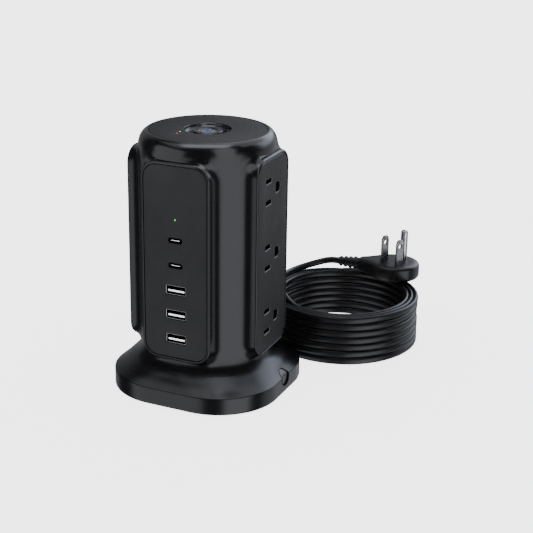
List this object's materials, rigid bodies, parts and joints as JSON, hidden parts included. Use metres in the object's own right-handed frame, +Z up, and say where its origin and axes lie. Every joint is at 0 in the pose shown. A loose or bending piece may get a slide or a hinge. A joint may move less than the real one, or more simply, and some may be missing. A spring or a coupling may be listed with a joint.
{
  "type": "tower power strip",
  "caption": "Upright power strip: a round column with raised outlet and USB panels, a push switch on top, a flared base and a coiled cord with a flat plug.",
  "frame": {"origin": "middle of the base, on the surface that the feet stand on", "axes": "+Z up along the tower, the USB side faces -Y, outlets face +X, +Y and -X, and the cord leaves the base at +Y"},
  "size_m": [0.1511, 0.2042, 0.1561],
  "materials": {
    "housing_gloss": "gloss black, moulded",
    "base_gloss": "gloss black, moulded",
    "panel_matte": "fine matte texture, charcoal",
    "button_gloss": "gloss black",
    "lens_blue": "dark lens with a lit blue power symbol",
    "lamp_red": "lit red indicator",
    "lamp_green": "lit green indicator",
    "grey_plastic": "moulded, inside the housing",
    "contact_brass": "stamped brass strip",
    "nickel_plate": "bright nickel plate",
    "tongue_white": "white insert",
    "board_green": "circuit board",
    "varistor_blue": "epoxy coat",
    "base_matte": "fine matte underside",
    "screw_steel": "zinc plated",
    "foot_rubber": "soft black pad",
    "cord_black": "smooth flexible jacket",
    "plug_black": "satin moulded plug"
  },
  "bodies": {
    "strip": {"tower_housing": "housing_gloss", "top_plate": "panel_matte", "power_switch": "grey_plastic", "lamp_surge": "lamp_red", "lamp_ground": "lamp_green", "lamp_usb": "lamp_green", "usb_plate": "panel_matte", "outlet_plate_right": "panel_matte", "contact_tray_right": "grey_plastic", "bus_line_right": "contact_brass", "bus_neutral_right": "contact_brass", "bus_ground_right": "contact_brass", "outlet_plate_back": "panel_matte", "contact_tray_back": "grey_plastic", "bus_line_back": "contact_brass", "bus_neutral_back": "contact_brass", "bus_ground_back": "contact_brass", "outlet_plate_left": "panel_matte", "contact_tray_left": "grey_plastic", "bus_line_left": "contact_brass", "bus_neutral_left": "contact_brass", "bus_ground_left": "contact_brass", "usb_a_1_shell": "nickel_plate", "usb_a_1_tongue": "tongue_white", "usb_a_2_shell": "nickel_plate", "usb_a_2_tongue": "tongue_white", "usb_a_3_shell": "nickel_plate", "usb_a_3_tongue": "tongue_white", "usb_c_1_shell": "nickel_plate", "usb_c_1_tongue": "nickel_plate", "usb_c_2_shell": "nickel_plate", "usb_c_2_tongue": "nickel_plate", "usb_board": "board_green", "surge_board": "board_green", "varistor_1": "varistor_blue", "varistor_2": "varistor_blue", "breaker_body": "grey_plastic", "base_cover": "base_gloss", "base_plate": "base_matte", "base_screw_1": "screw_steel", "foot_1": "foot_rubber", "base_screw_2": "screw_steel", "foot_2": "foot_rubber", "base_screw_3": "screw_steel", "foot_3": "foot_rubber", "base_screw_4": "screw_steel", "foot_4": "foot_rubber", "strain_relief": "cord_black", "cord_lead": "cord_black", "cord_coil": "cord_black", "cord_tail": "cord_black", "plug_relief": "cord_black", "plug_body": "plug_black", "blade_line": "nickel_plate", "blade_neutral": "nickel_plate", "ground_pin": "nickel_plate"},
    "power_button": {"power_button": "button_gloss", "power_lens": "lens_blue"},
    "reset_button": {"reset_button": "button_gloss"}
  },
  "joints": [
    {"name": "power_button_push", "type": "slide", "parent": "strip", "child": "power_button", "axis": [0, 0, -1], "range_m": [0, 0.0025], "stiffness_N_per_m": 300},
    {"name": "reset_button_push", "type": "slide", "parent": "strip", "child": "reset_button", "axis": [-1, 0, 0], "range_m": [0, 0.0018], "stiffness_N_per_m": 500}
  ]
}
